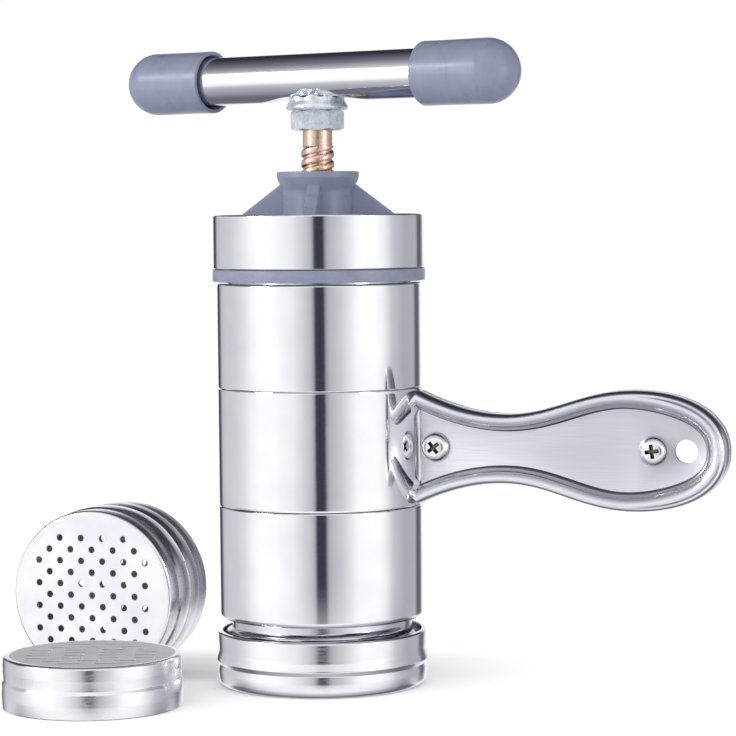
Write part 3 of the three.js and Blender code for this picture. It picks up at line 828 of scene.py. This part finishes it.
def hex_nut(name, across_flats, height, bore, material):
    """A nut with chamfered corners, one flat looking along +X."""
    segments, flat = 96, across_flats / 2
    rim, chamfer_slope = flat * 0.985, 0.55

    def change(radius, z, angle):
        if radius < rim:
            return radius, z
        off_flat = (angle + pi / 6) % (pi / 3) - pi / 6
        corner = flat / cos(off_flat)
        drop = max(0, corner - rim) * chamfer_slope
        return corner, z - drop if z > height / 2 else z + drop

    loop = [
        (bore, 0.5), (bore + 0.4, 0), (rim - 0.01, 0), (flat, 0), (flat, height), (rim - 0.01, height),
        (bore + 0.4, height), (bore, height - 0.5),
    ]
    return turned(name, loop, material, segments, change, sharp=25)


def make_handle_fasteners():
    seat = PANEL_Y + 0.3
    recess_turns = {"inner": radians(38), "outer": radians(8)}
    for end, reach in SCREW_REACHES.items():
        front = Matrix.Translation((reach * MM, -seat * MM, HANDLE_Z * MM))
        facing = rotation("X", pi / 2) @ rotation("Z", recess_turns[end])
        screw = pan_screw(f"pan_screw_{end}", 4.3, 2.5, 2, 2 * PANEL_Y + 4.4, "screw_steel")
        place(screw, "barrel", [f"handle_screw_{end}"], "screw_steel", PRESS @ front @ facing)
        back = Matrix.Translation((reach * MM, seat * MM, HANDLE_Z * MM))
        nut = hex_nut(f"hex_nut_{end}", 7, 3.2, 2.3, "zinc")
        place(nut, "barrel", [f"handle_nut_{end}"], "zinc",
              PRESS @ back @ rotation("X", -pi / 2))


make_handle_fasteners()

# --- lid

BOSS_R = 10.7
RIB_TURN = 12.5  # degrees from the X axis to the first of the four ribs


def rib_mesh(points, faces, angle):
    """Adds one tapered rib with rounded edges: a fan of sections from the boss down to its foot."""
    half, edge = 1.95, 0.55
    inner, foot_r = 8.5, 23.2
    low, boss_z, foot_z = 140.6, 151.5, 141.9
    side = [(-half, low), (-half, None), (half, None), (half, low)]
    across = Vector((-sin(angle), cos(angle), 0))
    outward = Vector((cos(angle), sin(angle), 0))
    loops = []
    steps = 10
    for reach in [inner + (foot_r - inner) * i / steps for i in range(steps + 1)] + [foot_r + 0.3]:
        share = max(0, (reach - BOSS_R) / (foot_r - BOSS_R))
        top = min(boss_z, boss_z + (foot_z - boss_z) * share)
        top = max(top, low + 0.4)
        outline = filleted([(x, top if z is None else z, edge if z is None else 0) for x, z in side],
                           step=18)
        loops.append([outward * reach + across * p.x + Vector((0, 0, p.y)) for p in outline])
    first, columns = len(points), len(loops[0])
    points += [p for loop in loops for p in loop]
    last = (len(loops) - 1) * columns
    ends = [range(columns), range(last + columns - 1, last - 1, -1)]
    faces += shifted(grid_faces(len(loops), columns, False, True) + ends, first)


def make_lid():
    core = filleted([
        (30.1, 122, 0.1), (32.1, 122, 0.35), (32.1, 125.7, 0.35), (30.9, 125.7, 0.1), (30.9, 140.9, 0.5),
        (BOSS_R, 140.9, 1.2), (BOSS_R + 0.05, 149.2, 4), (12.35, 153.0, 1.6), (12.4, 154.8, 0.4),
        (6, 154.8, 0.4), (6, 152.6, 0.1), (7.5, 152.6, 0.1), (7.5, 138.4, 0.1), (30.1, 138.4, 0.8),
    ], closed=True)
    segments = 160
    points = turned_points([(p.x, p.y) for p in core], segments)
    faces = grid_faces(len(core), segments, True, True)
    for quarter in range(4):
        rib_mesh(points, faces, radians(RIB_TURN + 90 * quarter))
    place(new_object("lid_moulding", points, faces, ["grey"]), "lid", ["lid_body"], "grey_plastic")
    path = [(32, 126), (32, 142, 0.55), (30, 142)]
    collar = turned("lid_band", sheet_section(path), "polished", 192)
    place(collar, "lid", ["lid_collar"], "polished_steel")


def helix_points(profile, lead, starts, low, high, segments):
    """Rows of points that follow a helix. profile is (share of a pitch, radius)."""
    pitch = lead / starts
    rows = []
    for n in range(int((low - lead) // pitch), int(high // pitch) + 2):
        for share, radius in profile:
            rows.append([(radius, min(max((n + share) * pitch + lead * j / segments, low), high),
                          tau * j / segments) for j in range(segments + 1)])
    return rows


def helix_grid(name, profile, starts, low, high, cap, material):
    """A threaded cylinder with a lead of THREAD_LEAD. cap gives the radii that close its two ends."""
    segments = 64
    rows = helix_points(profile, THREAD_LEAD, starts, low, high, segments)
    first, last = ([(radius, z, a) for _, _, a in rows[0]] for radius, z in zip(cap, (low, high)))
    rows = [first] + rows + [last]
    points = [(r * cos(a), r * sin(a), z) for row in rows for r, z, a in row]
    faces = grid_faces(len(rows), segments + 1, False, False)
    return new_object(name, points, faces, [material], sharp=28)


def make_lead_nut():
    bore, outer, low, high = SCREW_R + 0.35, 7.2, 138.4, 152.3
    corners = ((bore, low), (outer, low), (outer, high), (bore, high))
    section = filleted([(*corner, 0.3) for corner in corners], closed=True)

    def knurl(radius, height, angle):
        """Ridges along the outside, which is all that is wider than a radius of 7."""
        depth, ridges = 0.12, 24
        return (radius + depth * cos(ridges * angle), height) if radius > 7 else (radius, height)

    nut = turned("thread_insert", section, "zinc", 144, knurl)
    place(nut, "lid", ["lead_nut"], "zinc")


make_lid()
make_lead_nut()

# --- piston


def make_piston():
    radius, web, top = 26.2, PISTON_Z + 6, PISTON_Z + 14
    groove = radius - 1.9
    section = filleted([
        (3.3, web, 0.2), (9, web, 0.5), (9, PISTON_Z, 0.5), (20, PISTON_Z + 0.35, 2),
        (radius, PISTON_Z, 0.8), (radius, PISTON_Z + 5, 0.2), (groove, PISTON_Z + 5, 0.3),
        (groove, PISTON_Z + 9, 0.3), (radius, PISTON_Z + 9, 0.2), (radius, top, 0.8), (12, top, 0.6),
        (11.4, top - 0.5, 0.3), (3.3, top - 0.5, 0.2),
    ], closed=True)
    place(turned("piston_disc", section, "white", 144), "piston", ["piston"], "white_plastic")
    seal = filleted([
        (groove + 0.3, PISTON_Z + 5.3, 0.8), (26.4, PISTON_Z + 5.3, 1.5), (26.4, PISTON_Z + 8.7, 1.5),
        (groove + 0.3, PISTON_Z + 8.7, 0.8),
    ], closed=True)
    place(turned("seal_ring", seal, "rubber", 144), "piston", ["piston_seal"], "rubber")


def make_piston_fasteners():
    seat = PISTON_Z + 5.7
    washer = filleted([
        (2.4, seat - 1.2, 0.1), (7.5, seat - 1.2, 0.35), (7.5, seat, 0.15), (2.4, seat, 0.1),
    ], closed=True)
    place(turned("plate_washer", washer, "zinc", 96), "screw", ["piston_washer"], "zinc")
    screw = pan_screw("piston_pan_screw", 4.3, 2.6, 2, 8, "zinc")
    down = Matrix.Translation((0, 0, (seat - 1.5) * MM)) @ rotation("X", pi)
    place(screw, "screw", ["piston_screw"], "zinc", PRESS @ down)


make_piston()
make_piston_fasteners()

# --- lead screw and its nuts


def make_lead_screw():
    bottom, shoulder, thread_top, end = 35.3, PISTON_Z + 14.3, 162.4, TUBE_Z + 3.5
    root = 4.3
    thread = [(0.0, SCREW_R - 0.06), (0.05, SCREW_R), (0.5, SCREW_R - 0.08), (0.55, SCREW_R - 0.16),
              (0.68, root + 0.06), (0.71, root), (0.83, root), (0.86, root + 0.06)]
    screw = helix_grid("lead_screw_thread", thread, 2, shoulder, thread_top, (3, SHANK_R), "copper")
    place(screw, "screw", ["lead_screw"], "copper_zinc")
    shank = filleted([
        (0, thread_top - 0.5), (SHANK_R - 0.3, thread_top - 0.5), (SHANK_R, thread_top, 0.15),
        (SHANK_R, end, 0.4), (0, end),
    ])
    place(turned("lead_screw_shank", shank, "copper", 72), "screw", ["lead_screw"], "copper_zinc")
    journal = filleted([(2.25, bottom, 0.1), (3, bottom, 0.2), (3, shoulder + 0.4), (2.25, shoulder + 0.4)],
                       closed=True)
    place(turned("lead_screw_journal", journal, "copper", 48), "screw", ["lead_screw"], "copper_zinc")


def crimped_washer():
    """A washer whose upper lip is crimped unevenly against the tube above it."""
    bottom, lip_start, lip_height = 173.2, 175.2, 2.3

    def change(radius, height, angle):
        share = max(0, (height - lip_start) / lip_height)
        wave = 0.22 * cos(9 * angle + 0.6) + 0.16 * cos(5 * angle)
        return radius + share * 0.35 * cos(9 * angle + 0.6) * (radius > 6), height + share * wave

    section = filleted([
        (4.75, bottom, 0.2), (9.0, bottom, 0.3), (9.4, bottom + 0.8, 0.3), (9.1, bottom + 1.7, 0.6),
        (8.5, bottom + 2.7, 0.8), (8.3, bottom + 3.9, 0.15), (7.7, bottom + 4.1, 0.2),
        (6.8, bottom + 3.7, 0.8), (4.75, bottom + 3.6, 0.2),
    ], closed=True)
    return turned("crimped_washer", section, "zinc", 144, change)


def make_top_fasteners():
    bottom, turn = 167.1, radians(-76)
    nut = hex_nut("lock_nut_hex", 14, 6.2, SHANK_R + 0.3, "zinc")
    lifted = Matrix.Translation((0, 0, bottom * MM)) @ rotation("Z", turn)
    place(nut, "screw", ["lock_nut"], "zinc", PRESS @ lifted)
    place(crimped_washer(), "screw", ["flared_washer"], "zinc")


make_lead_screw()
make_top_fasteners()

# --- T-handle

T_HANDLE = PRESS @ Matrix.Translation((0, 0, TUBE_Z * MM)) @ rotation("Z", TUBE_TURN)
ALONG_TUBE = rotation("Y", pi / 2)


def dent_at(along):
    """How far the tube's underside is pressed in, by distance along it."""
    flat, ramp, depth = 7.5, 14, 1.7
    share = min(1, max(0, (abs(along) - flat) / ramp))
    return depth * (1 - share * share * (3 - 2 * share))


def make_tube():
    half, around, soft = 62.5, 128, 0.5
    stations = [-half] + [-20 + 0.5 * i for i in range(81)] + [half]  # close together at the dent
    points = []
    for along in stations:
        floor = dent_at(along) - TUBE_R
        for j in range(around):
            angle = tau * j / around
            y, z = TUBE_R * cos(angle), TUBE_R * sin(angle)
            if z < floor + soft:
                z = floor + soft * exp((z - floor - soft) / soft)
            points.append((z, y, along))
    faces = grid_faces(len(stations), around, False, True)
    tube = new_object("handle_bar", points, faces, ["tube"])
    modified(tube, "SOLIDIFY", thickness=SHEET * MM, offset=-1, use_even_offset=True)
    upright = rotation("Y", pi / 2) @ rotation("Z", pi)
    place(tube, "screw", ["handle_tube"], "polished_steel", T_HANDLE @ upright)


def make_cap(name, node, turn):
    """A moulded cap along the tube, with a domed end and a thin flared mouth."""
    mouth, top, end = 39.4, 70.6, 62.8
    centre = top - CAP_R
    dome = [(CAP_R * cos(a), centre + CAP_R * sin(a))
            for a in (radians(4 * i) for i in range(1, 22))]
    lip = filleted([(7.75, mouth + 4), (8.1, mouth + 1.2, 1), (8.4, mouth, 0.15),
                    (CAP_R - 0.05, mouth, 0.25), (CAP_R - 0.12, mouth + 6, 3), (CAP_R, centre)])
    bore = filleted([(7.75, mouth + 4), (7.75, end, 1), (0, end)])
    section = [(0, top)] + dome[::-1] + [(p.x, p.y) for p in lip[::-1]] + [(p.x, p.y) for p in bore[1:]]
    cap = turned(name, section, "grey", 128)
    place(cap, "screw", [node], "grey_plastic", T_HANDLE @ rotation("Z", turn) @ ALONG_TUBE)


def plate_cross_nut():
    """The nut inside the tube keeps its CAD shape and takes the zinc's look."""
    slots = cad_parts["cross_nut"].data.materials
    slots.clear()
    slots.append(MATERIALS["zinc"])


make_tube()
make_cap("cap_near", "handle_cap_near", 0)
make_cap("cap_far", "handle_cap_far", pi)
plate_cross_nut()

# --- camera

VIEW_TURN = radians(19)  # the camera stands this far round from -Y towards +X


def look(yaw, pitch, roll):
    """A camera's rotation. yaw turns it to its right, pitch looks down and roll turns it clockwise."""
    ahead = Vector((sin(yaw) * cos(pitch), cos(yaw) * cos(pitch), -sin(pitch)))
    right = Vector((cos(yaw), -sin(yaw), 0))
    up = right.cross(ahead)
    right, up = (cos(roll) * right + sin(roll) * up, cos(roll) * up - sin(roll) * right)
    return Matrix((right, up, -ahead)).transposed().to_4x4()


def make_camera():
    distance, height = 0.835, 0.1437
    yaw, pitch, roll = (radians(angle) for angle in (1.0, 3.31, -0.52))
    camera = bpy.data.objects.new("camera", bpy.data.cameras.new("camera"))
    camera.data.lens, camera.data.sensor_width = 135.2, 36
    camera.data.clip_start, camera.data.clip_end = 0.05, 50
    turn = Matrix.Translation(AXIS) @ rotation("Z", VIEW_TURN)
    camera.matrix_world = turn @ Matrix.Translation((0, -distance, height)) @ look(yaw, pitch, roll)
    bpy.context.scene.camera = link(camera)


# --- studio

# What stands round the press, by direction from it: degrees from the camera's side, positive to the
# camera's right, and the brightness of the wall, panel or gap there.
HORIZON = [
    (-180, 255), (-170, 250), (-163, 240), (-160, 66), (-151, 70), (-147, 140), (-143, 185), (-131, 200),
    (-110, 207), (-96, 222), (-82, 246), (-72, 255), (-52, 255), (-30, 238), (-10, 190), (-6.5, 160),
    (-5, 58), (5, 58), (6.5, 150), (10, 180), (24, 206), (42, 252), (66, 255), (76, 242), (88, 198),
    (108, 170), (130, 174), (136, 100), (144, 88), (150, 150), (156, 240),
]
# The same from the camera's side up over the press and down behind it, and below the horizon.
OVERHEAD = [
    (-180, 235), (-150, 225), (-140, 110), (-112, 105), (-96, 150), (-76, 175), (-50, 208), (-35, 236),
    (-18, 255), (25, 255), (38, 240), (50, 222), (66, 196), (84, 156), (98, 116), (114, 84), (130, 52),
    (160, 38), (171, 45), (180, 190),
]


def brightness_ramp(s, value, stops):
    """A ramp over -180 to 180 degrees from (angle, sRGB brightness) stops, bluer where it is dark."""
    bluer = 0.06
    made = s.node("ShaderNodeValToRGB", {"Fac": s.remap(value, -180, 180, 0, 1)})
    ramp = made.color_ramp
    for i, (angle, level) in enumerate(stops):
        place_on_ramp = (angle + 180) / 360
        if i < 2:
            element = ramp.elements[i]
            element.position = place_on_ramp
        else:
            element = ramp.elements.new(place_on_ramp)
        element.color = srgb(level, level, level + (255 - level) * bluer)
    return made.outputs["Color"]


def studio_world():
    """The studio's panels and the gaps between them; the camera itself sees a white backdrop."""
    world = bpy.data.worlds.new("studio")
    bpy.context.scene.world = world
    world.use_nodes = True
    s = Shader(world.node_tree)
    direction = s.node("ShaderNodeTexCoord").outputs["Generated"]
    turned_back = s.node("ShaderNodeVectorRotate", {"Vector": direction, "Angle": -VIEW_TURN},
                         rotation_type="Z_AXIS").outputs[0]
    right, away, up = s.split(turned_back)
    toward = s.math("MULTIPLY", away, -1.0)
    to_degrees = degrees(1)
    compass = s.math("MULTIPLY", s.math("ARCTAN2", right, toward), to_degrees)
    over = s.math("MULTIPLY", s.math("ARCTAN2", up, toward), to_degrees)
    steepness = s.math("MULTIPLY", s.math("ARCSINE", up), to_degrees)
    horizon_ends, overhead_starts = 9.0, 24.0
    high = s.node("ShaderNodeMapRange", {"Value": s.math("ABSOLUTE", steepness), "From Min": horizon_ends,
                                         "From Max": overhead_starts},
                  interpolation_type="SMOOTHSTEP").outputs[0]
    panels = s.mix(high, brightness_ramp(s, compass, HORIZON), brightness_ramp(s, over, OVERHEAD))
    seen_directly = s.node("ShaderNodeLightPath").outputs["Is Camera Ray"]
    studio = s.node("ShaderNodeBackground", {"Color": panels, "Strength": 1.2})
    backdrop = s.node("ShaderNodeBackground", {"Color": (1, 1, 1, 1), "Strength": 1.02})
    mixed = s.node("ShaderNodeMixShader", {0: seen_directly, 1: studio.outputs[0], 2: backdrop.outputs[0]})
    s.node("ShaderNodeOutputWorld", {"Surface": mixed.outputs[0]})


def floor_material():
    """White paper that glows a little, and more to the camera; the glow fades close to where things stand,
    a painted contact shadow.
    """
    glow_to_press, glow_to_camera = 0.2, 0.68

    def build(s, place_on_floor):
        cloud = s.noise(place_on_floor, 3, 2)
        colour = s.mix(cloud, (0.9, 0.9, 0.91, 1), (0.93, 0.93, 0.935, 1))
        openness = s.node("ShaderNodeAmbientOcclusion", {"Distance": 0.05}, samples=8).outputs["AO"]
        seen_directly = s.node("ShaderNodeLightPath").outputs["Is Camera Ray"]
        # The glow times the ambient occlusion: the floor goes darker near the parts, a painted contact
        # shadow.
        glow = s.math("MULTIPLY", openness, s.remap(seen_directly, 0, 1, glow_to_press, glow_to_camera))
        return {"Base Color": colour, "Roughness": 0.9, "Specular IOR Level": 0.1,
                "Emission Color": (1, 1, 1, 1), "Emission Strength": glow}

    return new_material("floor_paper", build)


def make_floor():
    """A flat white sheet just below the parts, which doesn't show in their reflections."""
    size, gap = 6, 0.0001
    corners = [(-size, -size, 0), (size, -size, 0), (size, size, 0), (-size, size, 0)]
    mesh = bpy.data.meshes.new("floor")
    mesh.from_pydata(corners, [], [(0, 1, 2, 3)])
    mesh.materials.append(floor_material())
    floor = bpy.data.objects.new("floor", mesh)
    floor.location.z = -gap
    floor.visible_glossy = False
    link(floor)


def softbox(name, azimuth, elevation, width, height, radiance):
    """A soft panel that faces the press. azimuth is from the camera's side, positive to its right."""
    distance, target_z = 1.2, 0.12
    data = bpy.data.lights.new(name, "AREA")
    data.shape, data.size, data.size_y = "RECTANGLE", width, height
    data.energy = radiance * pi * width * height
    light = bpy.data.objects.new(name, data)
    turn, lift = radians(azimuth) + VIEW_TURN, radians(elevation)
    target = Vector((AXIS.x, AXIS.y, target_z))
    back = Vector((sin(turn) * cos(lift), -cos(turn) * cos(lift), sin(lift)))
    light.location = target + back * distance
    light.rotation_mode = "QUATERNION"
    light.rotation_quaternion = back.to_track_quat("Z", "Y")
    link(light)


make_camera()
studio_world()
make_floor()
softbox("right_softbox", 54, 5, 0.32, 0.3, 3.5)
softbox("left_softbox", -63, 5, 0.3, 0.3, 3.5)
softbox("raised_softbox", -72, 22, 0.5, 0.16, 14)
bpy.context.scene.view_settings.view_transform = "Standard"
